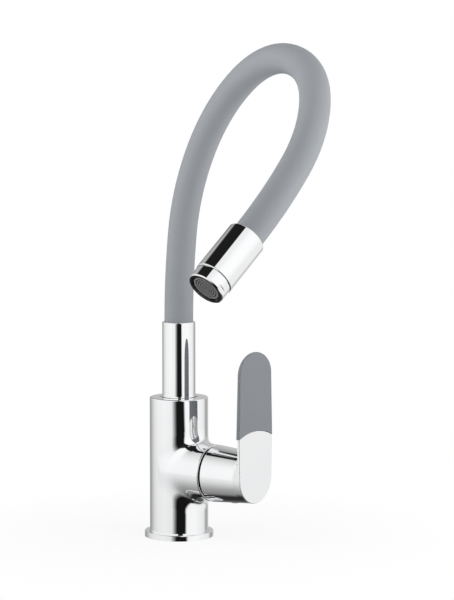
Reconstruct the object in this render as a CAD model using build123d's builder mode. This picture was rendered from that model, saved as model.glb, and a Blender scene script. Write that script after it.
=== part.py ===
from build123d import *
import math
import os

os.makedirs("parts", exist_ok=True)

# Clearances: radial on round fits, and along the axis between faces
running_clearance = 0.06
assembly_clearance = 0.1
curved_clearance = 0.3
face_clearance = 0.05

# Body casting: a column that stands on the deck, with a branch to its right for the cartridge
column_diameter = 45.0
column_height = 107.8
branch_diameter = 43.5
branch_axis_height = 52.0
branch_reach = 35.2
branch_blend_radius = 7.0
column_edge_radius = 1.0
branch_rim_radius = 1.2

# Foot of the casting: supply threads M10 x 1, fixing stud thread M8
spigot_diameter = 34.0
supply_thread_bore = 9.0
supply_thread_depth = 12.0
supply_thread_spacing = 14.0
supply_thread_setback = 8.0
stud_thread_bore = 6.8
stud_thread_depth = 20.0
stud_thread_offset = 9.0

# Base ring and its gasket
base_ring_diameter = 53.0
base_ring_height = 4.3
base_ring_flange = 1.5
base_ring_edge_radius = 0.6
gasket_diameter = 50.6
gasket_width = 1.8
gasket_thickness = 1.1

# Waterways in the casting
supply_duct_diameter = 6.4
mixed_duct_diameter = 8.0
mixed_duct_setback = 3.0
spout_socket_diameter = 28.8
spout_socket_depth = 27.0

# Cartridge, 35 mm size, stacked along the branch from its seat
seat_x = 3.0
cartridge_diameter = 34.8
cartridge_wall = 2.8
seal_stand = 0.2
seal_groove_depth = 1.0
seal_section = 1.2
cartridge_base_thickness = 3.0
fixed_disc_thickness = 4.0
moving_disc_thickness = 3.5
moving_disc_diameter = 24.6
carrier_thickness = 4.6
rotor_base_thickness = 3.3
cartridge_top_thickness = 3.0
rotor_neck_diameter = 18.0
rotor_neck_length = 9.0
pivot_setback = 1.75
supply_port_diameter = 5.2
supply_port_rise = 5.0
mixed_port_diameter = 6.8
mixed_port_drop = 6.5
mixing_recess_width = 19.0
mixing_recess_height = 11.0
mixing_recess_depth = 2.0
mixing_recess_corner = 4.0
mixing_recess_drop = 4.0

# Retaining nut and dome cap in the branch's mouth
nut_thread_diameter = 37.2
nut_bore_diameter = 25.0
nut_length = 5.8
nut_slot_width = 4.0
nut_slot_depth = 2.0
nut_slot_count = 4
dome_radius = 20.4
dome_wall = 1.2
dome_hole_diameter = 27.0

# Spindle and its pivot pin
pivot_pin_diameter = 3.0
spindle_side = 8.0
spindle_end_x = 60.0
spindle_shoulder = 2.5
foot_diameter = 3.8
foot_ball_diameter = 5.0
foot_arm = 9.8
lever_tilt = 25.0

# Lever: a hub over the branch's mouth and a flat paddle that stands up from it
hub_gap = 2.0
hub_clearance_radius = 23.2
hub_bore_diameter = 36.0
hub_front_wall = 7.5
boss_diameter = 16.0
lever_face_x = 74.2
paddle_width = 39.6
paddle_seam_width = 40.8
paddle_rise = 0.6
paddle_thickness = 2.1
paddle_blend_radius = 6.0
hub_edge_radius = 0.5
face_edge_radius = 0.9
seam_height = 36.0
seam_radius = 46.0
tongue_width = 26.0
tongue_thickness = 1.2
tongue_top = 84.0

# Grip: its outline tapers from the seam to the ellipse at its top, and so does its thickness
grip_top = 95.2
grip_seam_width = 41.8
grip_top_width = 39.2
grip_top_arch = 16.7
grip_seam_thickness = 3.3
grip_top_thickness = 2.9
grip_proud = 0.1
grip_edge_radius = 1.2
grub_screw_x = 55.0
grub_screw_diameter = 5.0
grub_screw_length = 6.0
grub_key_size = 2.5
index_plug_diameter = 7.0

# Swivelling stem of the spout
stem_diameter = 25.6
stem_top = 165.8
stem_edge_radius = 0.8
stem_lower_bore = 19.0
fitting_shoulder_z = 120.8
seal_ring_section = 2.1
seal_ring_heights = (4.0, 10.0)
seal_groove_width = 2.6
bush_length = 5.4
bush_recess = 0.8
retaining_height = 16.0
retaining_groove_width = 4.6
retaining_groove_depth = 1.5
retaining_screw_diameter = 5.0
retaining_tip_diameter = 3.2

# Flexible hose: seven equal links, each one arc; bends and turns in degrees give its pose
hose_diameter = 22.0
hose_sleeve_bore = 16.0
arm_diameter = 15.6
arm_bore = 11.6
water_hose_diameter = 11.0
water_hose_bore = 8.0
link_length = 67.0
link_bends = (5, 18, 34.5, 47, 40.5, 24.5, 9)
link_turns = (21.5, -12, -31, -4.5, -19, -23.5, -7.5)
socket_gap = 0.3
socket_lip = 3.2

# Hose end fittings
fitting_flange = 10.0
fitting_cup_depth = 20.0
nipple_bore = 5.6
upper_cup_depth = 14.0
upper_flange = 6.0

# Nozzle at the hose's free end, measured along its own axis
nozzle_diameter = 27.4
nozzle_length = 39.2
nozzle_edge_radius = 0.8
hose_insertion = 10.0
aerator_thread_diameter = 24.0
washer_thickness = 2.0
washer_bore = 16.0
aerator_gap = 0.6
aerator_flange_diameter = 26.4
aerator_flange_length = 8.8
aerator_rim_diameter = 25.0
aerator_bevel = 0.7
aerator_bore = 21.8
aerator_flat_width = 25.4
aerator_flat_length = 3.6
aerator_flat_turn = 105
insert_diameter = 21.4
insert_length = 7.0
insert_setback = 0.8
insert_face_diameter = 19.0
insert_rim_depth = 2.0
insert_ring_count = 5
insert_ring_width = 0.8
insert_ring_depth = 1.0

column_radius = column_diameter / 2
branch_radius = branch_diameter / 2
paddle_half = paddle_width / 2
stem_radius = stem_diameter / 2
hose_radius = hose_diameter / 2
cartridge_radius = cartridge_diameter / 2
socket_radius = spout_socket_diameter / 2

# Places along the branch, worked out from the stack
base_x = seat_x + seal_stand
fixed_disc_x = base_x + cartridge_base_thickness
moving_disc_x = fixed_disc_x + fixed_disc_thickness + face_clearance
carrier_x = moving_disc_x + moving_disc_thickness
rotor_x = carrier_x + carrier_thickness + curved_clearance
rotor_top_x = rotor_x + rotor_base_thickness
cartridge_top_x = rotor_top_x + curved_clearance
cartridge_end_x = cartridge_top_x + cartridge_top_thickness
pivot_x = cartridge_end_x + pivot_setback
cavity_radius = cartridge_radius - cartridge_wall
nut_end_x = cartridge_end_x + nut_length
hub_rear_x = branch_reach + hub_gap
disc_travel = foot_arm * math.sin(math.radians(lever_tilt))
disc_drop = disc_travel / 2
nut_radius = nut_thread_diameter / 2 - assembly_clearance
socket_floor_z = column_height - spout_socket_depth
branch_axis = Axis((0, 0, branch_axis_height), (1, 0, 0))


def across_branch(x):
    """A plane square to the branch, with its own x to the rear and its own y upwards."""
    return Plane(origin=(x, 0, branch_axis_height), x_dir=(0, 1, 0), z_dir=(1, 0, 0))


def along_branch():
    """An upright plane through the branch's axis, with its own x to the right and its own y upwards."""
    return Plane(origin=(0, 0, branch_axis_height), x_dir=(1, 0, 0), z_dir=(0, -1, 0))


def pivot_arc(radius, start_height, end_height):
    """An arc round the lever's pivot, in front of it, between two heights over the branch's axis."""
    start_x = pivot_x + math.sqrt(radius**2 - start_height**2)
    end_x = pivot_x + math.sqrt(radius**2 - end_height**2)
    middle = (math.asin(start_height / radius) + math.asin(end_height / radius)) / 2
    middle_point = (pivot_x + radius * math.cos(middle), radius * math.sin(middle))
    return ThreePointArc((start_x, start_height), middle_point, (end_x, end_height))


def ring_sketch(outer_radius, inner_radius):
    """A ring in the sketch that is open."""
    Circle(outer_radius)
    Circle(inner_radius, mode=Mode.SUBTRACT)


def write(part, label):
    """Name a finished piece and write it."""
    part.label = label
    export_step(part, "parts/" + label + ".step")


supply_ports = [(-supply_thread_spacing / 2, supply_port_rise), (supply_thread_spacing / 2, supply_port_rise)]
mixed_port = [(0, -mixed_port_drop)]

# The body casting, bored from its foot, from its top and from the branch's mouth
with BuildPart() as body_casting:
    with BuildSketch(Plane.XY.offset(base_ring_flange)):
        Circle(column_radius)
    extrude(amount=column_height - base_ring_flange)
    with BuildSketch(across_branch(0)):
        Circle(branch_radius)
    extrude(amount=branch_reach)
    meeting_edges = body_casting.edges().filter_by(
        lambda edge: edge.geom_type not in (GeomType.CIRCLE, GeomType.LINE)
    )
    fillet(meeting_edges, branch_blend_radius)
    fillet(body_casting.faces().sort_by(Axis.Z)[-1].edges(), column_edge_radius)
    fillet(body_casting.faces().sort_by(Axis.X)[-1].edges(), branch_rim_radius)
    with BuildSketch(Plane.XY):
        Circle(spigot_diameter / 2)
    extrude(amount=base_ring_flange)
    with BuildSketch(across_branch(seat_x)):
        Circle(cartridge_radius + assembly_clearance * 2)
    extrude(amount=branch_reach - seat_x, mode=Mode.SUBTRACT)
    with BuildSketch(across_branch(cartridge_top_x)):
        Circle(nut_thread_diameter / 2)
    extrude(amount=branch_reach - cartridge_top_x, mode=Mode.SUBTRACT)
    with BuildSketch(Plane.XY.offset(socket_floor_z)):
        Circle(socket_radius)
    extrude(amount=spout_socket_depth, mode=Mode.SUBTRACT)
    # Hot and cold ways, from the supply threads up and across to the seat
    supply_port_z = branch_axis_height + supply_port_rise
    supply_points = [
        (-supply_thread_setback, -supply_thread_spacing / 2),
        (-supply_thread_setback, supply_thread_spacing / 2),
    ]
    with BuildSketch(Plane.XY):
        with Locations(supply_points):
            Circle(supply_thread_bore / 2)
    extrude(amount=supply_thread_depth, mode=Mode.SUBTRACT)
    with BuildSketch(Plane.XY.offset(supply_thread_depth)):
        with Locations(supply_points):
            Circle(supply_duct_diameter / 2)
    extrude(amount=supply_port_z + supply_duct_diameter / 2 - supply_thread_depth, mode=Mode.SUBTRACT)
    with BuildSketch(across_branch(seat_x)):
        with Locations(supply_ports):
            Circle(supply_port_diameter / 2)
    extrude(amount=-(seat_x + supply_thread_setback), mode=Mode.SUBTRACT)
    # Mixed way, from the seat back and up to the spout's socket
    mixed_port_z = branch_axis_height - mixed_port_drop
    with BuildSketch(across_branch(seat_x)):
        with Locations(mixed_port):
            Circle(mixed_port_diameter / 2)
    extrude(amount=-(seat_x + mixed_duct_setback), mode=Mode.SUBTRACT)
    with BuildSketch(Plane.XY.offset(mixed_port_z - mixed_duct_diameter / 2)):
        with Locations((-mixed_duct_setback, 0)):
            Circle(mixed_duct_diameter / 2)
    extrude(amount=socket_floor_z - mixed_port_z + mixed_duct_diameter / 2, mode=Mode.SUBTRACT)
    with BuildSketch(Plane.XY):
        with Locations((stud_thread_offset, 0)):
            Circle(stud_thread_bore / 2)
    extrude(amount=stud_thread_depth, mode=Mode.SUBTRACT)
    # Threaded hole at the rear for the screw that keeps the spout in
    retaining_z = socket_floor_z + retaining_height
    with BuildSketch(Plane.XZ.offset(-column_radius)):
        with Locations((0, retaining_z)):
            Circle(retaining_screw_diameter / 2 + face_clearance)
    extrude(amount=column_radius, mode=Mode.SUBTRACT)
write(body_casting.part, "body_casting")

# The base ring, which the column stands in, with a groove for its gasket
gasket_radius = gasket_diameter / 2
with BuildPart() as base_ring:
    with BuildSketch():
        ring_sketch(base_ring_diameter / 2, spigot_diameter / 2 + assembly_clearance)
    extrude(amount=base_ring_height)
    fillet(base_ring.edges().group_by(Axis.Z)[-1].sort_by(SortBy.LENGTH)[-1], base_ring_edge_radius)
    with BuildSketch(Plane.XY.offset(base_ring_flange)):
        Circle(column_radius + assembly_clearance)
    extrude(amount=base_ring_height - base_ring_flange, mode=Mode.SUBTRACT)
    with BuildSketch():
        ring_sketch(gasket_radius + assembly_clearance, gasket_radius - gasket_width - assembly_clearance)
    extrude(amount=gasket_thickness, mode=Mode.SUBTRACT)
write(base_ring.part, "base_ring")

with BuildPart() as base_gasket:
    with BuildSketch():
        ring_sketch(gasket_radius, gasket_radius - gasket_width)
    extrude(amount=gasket_thickness)
write(base_gasket.part, "base_gasket")

# Cartridge base, with the three ways through it and a seal groove round each
port_sizes = [
    (supply_ports[0], supply_port_diameter / 2),
    (supply_ports[1], supply_port_diameter / 2),
    (mixed_port[0], mixed_port_diameter / 2),
]
with BuildPart() as cartridge_base:
    with BuildSketch(across_branch(base_x)):
        Circle(cartridge_radius)
    extrude(amount=cartridge_base_thickness)
    for place, radius in port_sizes:
        with BuildSketch(across_branch(base_x)):
            with Locations(place):
                Circle(radius)
        extrude(amount=cartridge_base_thickness, mode=Mode.SUBTRACT)
        with BuildSketch(across_branch(base_x)):
            with Locations(place):
                Circle(radius + seal_section + 2 * assembly_clearance)
        extrude(amount=seal_groove_depth, mode=Mode.SUBTRACT)
write(cartridge_base.part, "cartridge_base")

with BuildPart() as cartridge_seals:
    for place, radius in port_sizes:
        with BuildSketch(across_branch(seat_x)):
            with Locations(place):
                ring_sketch(radius + seal_section + assembly_clearance, radius + assembly_clearance)
        extrude(amount=seal_stand + seal_groove_depth)
write(cartridge_seals.part, "cartridge_seals")

# Cartridge housing, a cup over the base with an opening for the rotor's neck
with BuildPart() as cartridge_housing:
    with BuildSketch(across_branch(fixed_disc_x)):
        Circle(cartridge_radius)
    extrude(amount=cartridge_end_x - fixed_disc_x)
    chamfer(cartridge_housing.faces().sort_by(Axis.X)[-1].edges(), curved_clearance)
    with BuildSketch(across_branch(fixed_disc_x)):
        Circle(cavity_radius)
    extrude(amount=cartridge_top_x - fixed_disc_x, mode=Mode.SUBTRACT)
    with BuildSketch(across_branch(cartridge_top_x)):
        Circle(rotor_neck_diameter / 2 + running_clearance)
    extrude(amount=cartridge_top_thickness, mode=Mode.SUBTRACT)
write(cartridge_housing.part, "cartridge_housing")

with BuildPart() as fixed_disc:
    with BuildSketch(across_branch(fixed_disc_x)):
        Circle(cavity_radius - assembly_clearance)
        with Locations(supply_ports):
            Circle(supply_port_diameter / 2, mode=Mode.SUBTRACT)
        with Locations(mixed_port):
            Circle(mixed_port_diameter / 2, mode=Mode.SUBTRACT)
    extrude(amount=fixed_disc_thickness)
write(fixed_disc.part, "fixed_disc")

# Moving disc, shut at rest, with the recess that joins the ways as it slides up
with BuildPart() as moving_disc:
    with BuildSketch(across_branch(moving_disc_x)):
        with Locations((0, -disc_drop)):
            Circle(moving_disc_diameter / 2)
    extrude(amount=moving_disc_thickness)
    with BuildSketch(across_branch(moving_disc_x)):
        with Locations((0, -mixing_recess_drop)):
            RectangleRounded(mixing_recess_width, mixing_recess_height, mixing_recess_corner)
    extrude(amount=mixing_recess_depth, mode=Mode.SUBTRACT)
write(moving_disc.part, "moving_disc")

foot_ball_radius = foot_ball_diameter / 2
ball_slot = foot_ball_diameter + 2 * curved_clearance
ball_slot_floor_x = pivot_x - foot_arm - foot_ball_radius - curved_clearance
with BuildPart() as disc_carrier:
    with BuildSketch(across_branch(carrier_x)):
        with Locations((0, -disc_drop)):
            Circle(moving_disc_diameter / 2 - assembly_clearance)
    extrude(amount=carrier_thickness)
    with BuildSketch(across_branch(ball_slot_floor_x)):
        RectangleRounded(ball_slot, ball_slot, foot_ball_radius)
    extrude(amount=carrier_x + carrier_thickness - ball_slot_floor_x, mode=Mode.SUBTRACT)
write(disc_carrier.part, "disc_carrier")

# Rotor, turned by the lever, with a slot in its neck for the spindle and one in its base for the ball
ball_room = foot_ball_radius + curved_clearance
with BuildPart() as cartridge_rotor:
    with BuildSketch(across_branch(rotor_x)):
        Circle(cavity_radius - curved_clearance)
    extrude(amount=rotor_base_thickness)
    with BuildSketch(across_branch(rotor_top_x)):
        Circle(rotor_neck_diameter / 2)
    extrude(amount=rotor_neck_length)
    with BuildSketch(across_branch(rotor_top_x)):
        Rectangle(spindle_side + 2 * assembly_clearance, rotor_neck_diameter)
    extrude(amount=rotor_neck_length, mode=Mode.SUBTRACT)
    with BuildSketch(across_branch(rotor_x)):
        with Locations((0, disc_travel / 2)):
            Rectangle(2 * ball_room, disc_travel + 2 * ball_room)
    extrude(amount=rotor_base_thickness, mode=Mode.SUBTRACT)
    with BuildSketch(Plane.XZ.offset(-rotor_neck_diameter / 2)):
        with Locations((pivot_x, branch_axis_height)):
            Circle(pivot_pin_diameter / 2 + face_clearance)
    extrude(amount=rotor_neck_diameter, mode=Mode.SUBTRACT)
write(cartridge_rotor.part, "cartridge_rotor")

pin_length = rotor_neck_diameter - 4 * assembly_clearance
with BuildPart() as pivot_pin:
    with BuildSketch(Plane.XZ.offset(-pin_length / 2)):
        with Locations((pivot_x, branch_axis_height)):
            Circle(pivot_pin_diameter / 2)
    extrude(amount=pin_length)
    chamfer(pivot_pin.edges().filter_by(GeomType.CIRCLE), curved_clearance)
write(pivot_pin.part, "pivot_pin")

# Spindle: square outside the pivot, a round foot with a ball inside it
with BuildPart() as spindle:
    with BuildSketch(across_branch(pivot_x - spindle_shoulder)):
        Rectangle(spindle_side, spindle_side)
    extrude(amount=spindle_end_x - pivot_x + spindle_shoulder)
    chamfer(spindle.faces().sort_by(Axis.X)[-1].edges(), curved_clearance)
    with BuildSketch(across_branch(pivot_x - foot_arm)):
        Circle(foot_diameter / 2)
    extrude(amount=foot_arm - spindle_shoulder)
    with Locations((pivot_x - foot_arm, 0, branch_axis_height)):
        Sphere(foot_ball_radius)
    with BuildSketch(Plane.XZ.offset(-spindle_side)):
        with Locations((pivot_x, branch_axis_height)):
            Circle(pivot_pin_diameter / 2 + running_clearance)
    extrude(amount=2 * spindle_side, mode=Mode.SUBTRACT)
write(spindle.part, "spindle")

# Retaining nut, screwed into the branch against the cartridge, with slots for a spanner
with BuildPart() as cartridge_nut:
    with BuildSketch(across_branch(cartridge_end_x)):
        ring_sketch(nut_radius, nut_bore_diameter / 2)
    extrude(amount=nut_length)
    with BuildSketch(across_branch(nut_end_x - nut_slot_depth)):
        with PolarLocations((nut_radius + nut_bore_diameter / 2) / 2, nut_slot_count):
            Rectangle(nut_radius, nut_slot_width)
        Circle(nut_radius + nut_slot_depth, mode=Mode.INTERSECT)
    extrude(amount=nut_slot_depth, mode=Mode.SUBTRACT)
write(cartridge_nut.part, "cartridge_nut")

# Dome cap, a zone of a sphere round the pivot on a skirt that stands in the branch's mouth
skirt_start_x = nut_end_x + assembly_clearance
with BuildPart() as dome_cap:
    with BuildSketch(along_branch()):
        with BuildLine():
            outer = pivot_arc(dome_radius, nut_radius, dome_hole_diameter / 2)
            inner = pivot_arc(dome_radius - dome_wall, nut_radius - dome_wall, dome_hole_diameter / 2)
            Line(outer @ 1, inner @ 1)
            Polyline(
                inner @ 0,
                (skirt_start_x, nut_radius - dome_wall),
                (skirt_start_x, nut_radius),
                outer @ 0,
            )
        make_face()
    revolve(axis=branch_axis)
write(dome_cap.part, "dome_cap")

# Lever handle: a tapering hub, hollowed by a sphere round the pivot, and the paddle's lower half
# with a flat tongue that stands up from its back for the grip
paddle_seam_half = paddle_seam_width / 2
seam_side_height = seam_height - seam_radius + math.sqrt(seam_radius**2 - paddle_seam_half**2)
cavity_end_x = lever_face_x - hub_front_wall
paddle_back_x = lever_face_x - paddle_thickness
hub_front_radius = paddle_half - paddle_rise - face_clearance
hub_taper = (branch_radius - hub_front_radius) / (paddle_back_x - hub_rear_x)
blend_start_x = paddle_back_x - paddle_blend_radius
blend_start_height = hub_front_radius + hub_taper * paddle_blend_radius
hub_rear_height = math.sqrt(hub_clearance_radius**2 - (hub_rear_x - pivot_x) ** 2)
with BuildSketch(Plane.XY) as paddle_outline:
    with BuildLine():
        ThreePointArc((-paddle_half, paddle_rise), (0, paddle_rise - paddle_half), (paddle_half, paddle_rise))
        Line((paddle_half, paddle_rise), (paddle_seam_half, seam_side_height))
        ThreePointArc(
            (paddle_seam_half, seam_side_height), (0, seam_height), (-paddle_seam_half, seam_side_height)
        )
        Line((-paddle_seam_half, seam_side_height), (-paddle_half, paddle_rise))
    make_face()
with BuildPart() as paddle_plate:
    with BuildSketch(across_branch(paddle_back_x)):
        add(paddle_outline.sketch)
    extrude(amount=paddle_thickness)
    fillet(paddle_plate.faces().sort_by(Axis.X)[-1].edges(), face_edge_radius)
# The blend from the hub to the paddle, a flare round the branch's axis cut to the paddle's outline
blend_angle = math.pi / 4
with BuildPart() as paddle_blend:
    with BuildSketch(along_branch()):
        with BuildLine():
            Polyline(
                (paddle_back_x, blend_start_height + paddle_blend_radius),
                (paddle_back_x, 0),
                (blend_start_x, 0),
                (blend_start_x, blend_start_height),
            )
            ThreePointArc(
                (blend_start_x, blend_start_height),
                (
                    blend_start_x + paddle_blend_radius * math.sin(blend_angle),
                    blend_start_height + paddle_blend_radius * (1 - math.cos(blend_angle)),
                ),
                (paddle_back_x, blend_start_height + paddle_blend_radius),
            )
        make_face()
    revolve(axis=branch_axis)
    with BuildSketch(across_branch(blend_start_x)):
        add(paddle_outline.sketch)
    extrude(amount=paddle_blend_radius, mode=Mode.INTERSECT)
with BuildPart() as lever_handle:
    with BuildSketch(along_branch()):
        Polygon(
            (hub_rear_x, 0),
            (hub_rear_x, branch_radius),
            (paddle_back_x, hub_front_radius),
            (paddle_back_x, 0),
            align=None,
        )
    revolve(axis=branch_axis)
    fillet(lever_handle.faces().sort_by(Axis.X)[0].edges(), hub_edge_radius)
    add(paddle_blend.part)
    add(paddle_plate.part)
    with BuildSketch(along_branch()):
        with BuildLine():
            hollow = pivot_arc(hub_clearance_radius, hub_rear_height, hub_bore_diameter / 2)
            boss_end = pivot_arc(hub_clearance_radius, boss_diameter / 2, 0)
            Polyline(
                hollow @ 1,
                (cavity_end_x, hub_bore_diameter / 2),
                (cavity_end_x, boss_diameter / 2),
                boss_end @ 0,
            )
            Polyline(boss_end @ 1, (hub_rear_x - hub_gap, 0), (hub_rear_x - hub_gap, hub_rear_height), hollow @ 0)
        make_face()
    revolve(axis=branch_axis, mode=Mode.SUBTRACT)
    with BuildSketch(across_branch(paddle_back_x)):
        Rectangle(tongue_width, tongue_top, align=(Align.CENTER, Align.MIN))
    extrude(amount=tongue_thickness)
    # Square socket for the spindle
    with BuildSketch(across_branch(hub_rear_x)):
        Rectangle(spindle_side + 2 * assembly_clearance, spindle_side + 2 * assembly_clearance)
    extrude(amount=spindle_end_x + curved_clearance - hub_rear_x, mode=Mode.SUBTRACT)
    # Holes for the grub screw in the boss and for the index plug in the hub's underside
    with BuildSketch(Plane.XY.offset(branch_axis_height - boss_diameter)):
        with Locations((grub_screw_x, 0)):
            Circle(grub_screw_diameter / 2 + face_clearance)
    extrude(amount=boss_diameter, mode=Mode.SUBTRACT)
    with BuildSketch(Plane.XY.offset(branch_axis_height - branch_radius)):
        with Locations((grub_screw_x, 0)):
            Circle(index_plug_diameter / 2 + assembly_clearance)
    extrude(amount=branch_radius - boss_diameter / 2 - curved_clearance, mode=Mode.SUBTRACT)
write(lever_handle.part, "lever_handle")

# Grip: a moulded cover pushed over the tongue, whose back slopes in towards its top
grip_front_x = lever_face_x + grip_proud
grip_back_x = grip_front_x - grip_seam_thickness
grip_arch_height = grip_top - grip_top_arch
grip_seam_radius = seam_radius + face_clearance
back_rise = grip_top - seam_side_height
back_tilt = math.atan((grip_seam_thickness - grip_top_thickness) / back_rise)
with BuildPart() as lever_grip:
    with BuildSketch(across_branch(grip_back_x)):
        with Locations((0, grip_arch_height)):
            Ellipse(grip_top_width / 2, grip_top_arch)
        with BuildLine():
            Polyline(
                (-grip_seam_width / 2, seam_side_height),
                (grip_seam_width / 2, seam_side_height),
                (grip_top_width / 2, grip_arch_height),
                (-grip_top_width / 2, grip_arch_height),
                close=True,
            )
        make_face()
    extrude(amount=grip_seam_thickness)
    back_corner = (grip_back_x, 0, branch_axis_height + seam_side_height)
    split(bisect_by=Plane(back_corner, x_dir=(0, 1, 0), z_dir=(math.cos(back_tilt), 0, -math.sin(back_tilt))))
    outline_edges = lever_grip.edges().filter_by(Axis.X, reverse=True).filter_by(
        lambda edge: edge.center().Z > branch_axis_height + seam_side_height + face_clearance
    )
    fillet(outline_edges, grip_edge_radius)
    with BuildSketch(across_branch(grip_back_x)):
        with Locations((0, seam_height - seam_radius)):
            Circle(grip_seam_radius)
    extrude(amount=grip_seam_thickness, mode=Mode.SUBTRACT)
    with BuildSketch(across_branch(paddle_back_x - assembly_clearance)):
        Rectangle(
            tongue_width + 2 * assembly_clearance,
            tongue_top + assembly_clearance,
            align=(Align.CENTER, Align.MIN),
        )
    extrude(amount=tongue_thickness + 2 * assembly_clearance, mode=Mode.SUBTRACT)
write(lever_grip.part, "lever_grip")

# Grub screw that clamps the spindle, with its hexagonal key socket
screw_top_z = branch_axis_height - spindle_side / 2
with BuildPart() as grub_screw:
    with BuildSketch(Plane.XY.offset(screw_top_z - grub_screw_length)):
        with Locations((grub_screw_x, 0)):
            Circle(grub_screw_diameter / 2)
    extrude(amount=grub_screw_length)
    with BuildSketch(Plane.XY.offset(screw_top_z - grub_screw_length)):
        with Locations((grub_screw_x, 0)):
            RegularPolygon(grub_key_size / 2, 6, major_radius=False)
    extrude(amount=grub_screw_length / 2, mode=Mode.SUBTRACT)
write(grub_screw.part, "grub_screw")

# Index plug, flush with the underside of the tapering hub
plug_bottom_z = branch_axis_height - branch_radius + hub_taper * (grub_screw_x - hub_rear_x)
with BuildPart() as index_plug:
    with BuildSketch(Plane.XY.offset(plug_bottom_z)):
        with Locations((grub_screw_x, 0)):
            Circle(index_plug_diameter / 2)
    extrude(amount=branch_axis_height - hub_bore_diameter / 2 - plug_bottom_z)
write(index_plug.part, "index_plug")

# Stem of the spout, which turns in the column's socket on two seal rings and a bush
stem_bottom_z = socket_floor_z + curved_clearance
fitting_radius = hose_radius + face_clearance
stem_bore_radius = fitting_radius + assembly_clearance
seal_outer_radius = socket_radius - assembly_clearance
seal_groove_radius = seal_outer_radius - seal_ring_section - assembly_clearance
seal_places = [stem_bottom_z + height for height in seal_ring_heights]
with BuildPart() as stem_tube:
    with BuildSketch(Plane.XY.offset(stem_bottom_z)):
        Circle(stem_radius)
    extrude(amount=stem_top - stem_bottom_z)
    with BuildSketch(Plane.XY.offset(stem_bottom_z)):
        Circle(stem_lower_bore / 2)
    extrude(amount=stem_top - stem_bottom_z, mode=Mode.SUBTRACT)
    with BuildSketch(Plane.XY.offset(fitting_shoulder_z)):
        Circle(stem_bore_radius)
    extrude(amount=stem_top - fitting_shoulder_z, mode=Mode.SUBTRACT)
    fillet(stem_tube.faces().sort_by(Axis.Z)[-1].edges().sort_by(SortBy.LENGTH)[-1], stem_edge_radius)
    for place in seal_places:
        with BuildSketch(Plane.XY.offset(place - seal_groove_width / 2)):
            ring_sketch(stem_diameter, seal_groove_radius)
        extrude(amount=seal_groove_width, mode=Mode.SUBTRACT)
    with BuildSketch(Plane.XY.offset(retaining_z - retaining_groove_width / 2)):
        ring_sketch(stem_diameter, stem_radius - retaining_groove_depth)
    extrude(amount=retaining_groove_width, mode=Mode.SUBTRACT)
write(stem_tube.part, "stem_tube")

with BuildPart() as stem_seal_rings:
    for place in seal_places:
        with BuildSketch(Plane.XZ):
            with Locations((seal_outer_radius - seal_ring_section / 2, place)):
                Circle(seal_ring_section / 2)
        revolve(axis=Axis.Z)
write(stem_seal_rings.part, "stem_seal_rings")

with BuildPart() as swivel_bush:
    with BuildSketch(Plane.XY.offset(column_height - bush_recess - bush_length)):
        ring_sketch(socket_radius - face_clearance, stem_radius + running_clearance)
    extrude(amount=bush_length)
write(swivel_bush.part, "swivel_bush")

# Grub screw in the column's rear wall, whose tip runs in the stem's groove
retaining_tip_y = stem_radius - retaining_groove_depth + curved_clearance
retaining_shoulder_y = stem_radius + running_clearance + curved_clearance
retaining_head_y = column_radius - curved_clearance
with BuildPart() as spout_retaining_screw:
    with BuildSketch(Plane.XZ.offset(-retaining_head_y)):
        with Locations((0, retaining_z)):
            Circle(retaining_screw_diameter / 2)
    extrude(amount=retaining_head_y - retaining_shoulder_y)
    with BuildSketch(Plane.XZ.offset(-retaining_shoulder_y)):
        with Locations((0, retaining_z)):
            Circle(retaining_tip_diameter / 2)
    extrude(amount=retaining_shoulder_y - retaining_tip_y)
    with BuildSketch(Plane.XZ.offset(-retaining_head_y)):
        with Locations((0, retaining_z)):
            RegularPolygon(grub_key_size / 2, 6, major_radius=False)
    extrude(amount=grub_key_size, mode=Mode.SUBTRACT)
write(spout_retaining_screw.part, "spout_retaining_screw")

# Centreline of the hose: a station at each end of each link, and the axis that each link bends about
stations = [Plane(origin=(0, 0, stem_top), x_dir=(1, 0, 0), z_dir=(0, 0, 1))]
link_starts = []
bend_axes = []
for bend, turn in zip(link_bends, link_turns):
    here = stations[-1]
    towards = here.x_dir.rotate(Axis((0, 0, 0), here.z_dir), turn)
    start = Plane(origin=here.origin, x_dir=towards, z_dir=here.z_dir)
    bend_radius = link_length / math.radians(bend)
    sine = math.sin(math.radians(bend))
    cosine = math.cos(math.radians(bend))
    centre = start.origin + towards * bend_radius
    end_origin = centre - towards * (bend_radius * cosine) + start.z_dir * (bend_radius * sine)
    end_x = towards * cosine - start.z_dir * sine
    end_z = start.z_dir * cosine + towards * sine
    link_starts.append(start)
    bend_axes.append(Axis(centre, start.y_dir))
    stations.append(Plane(origin=end_origin, x_dir=end_x, z_dir=end_z))
    print("link bend radius", round(bend_radius, 1))
last_link = len(link_bends) - 1
outlet = stations[-1]


def ball_arc(start_radius, end_radius):
    """An arc round a link's end, as wide as the hose, between two distances from the hose's axis."""
    start_height = math.sqrt(hose_radius**2 - start_radius**2)
    end_height = math.sqrt(hose_radius**2 - end_radius**2)
    middle = (math.atan2(start_height, start_radius) + math.atan2(end_height, end_radius)) / 2
    middle_point = (hose_radius * math.cos(middle), hose_radius * math.sin(middle))
    return ThreePointArc((start_radius, start_height), middle_point, (end_radius, end_height))


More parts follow.
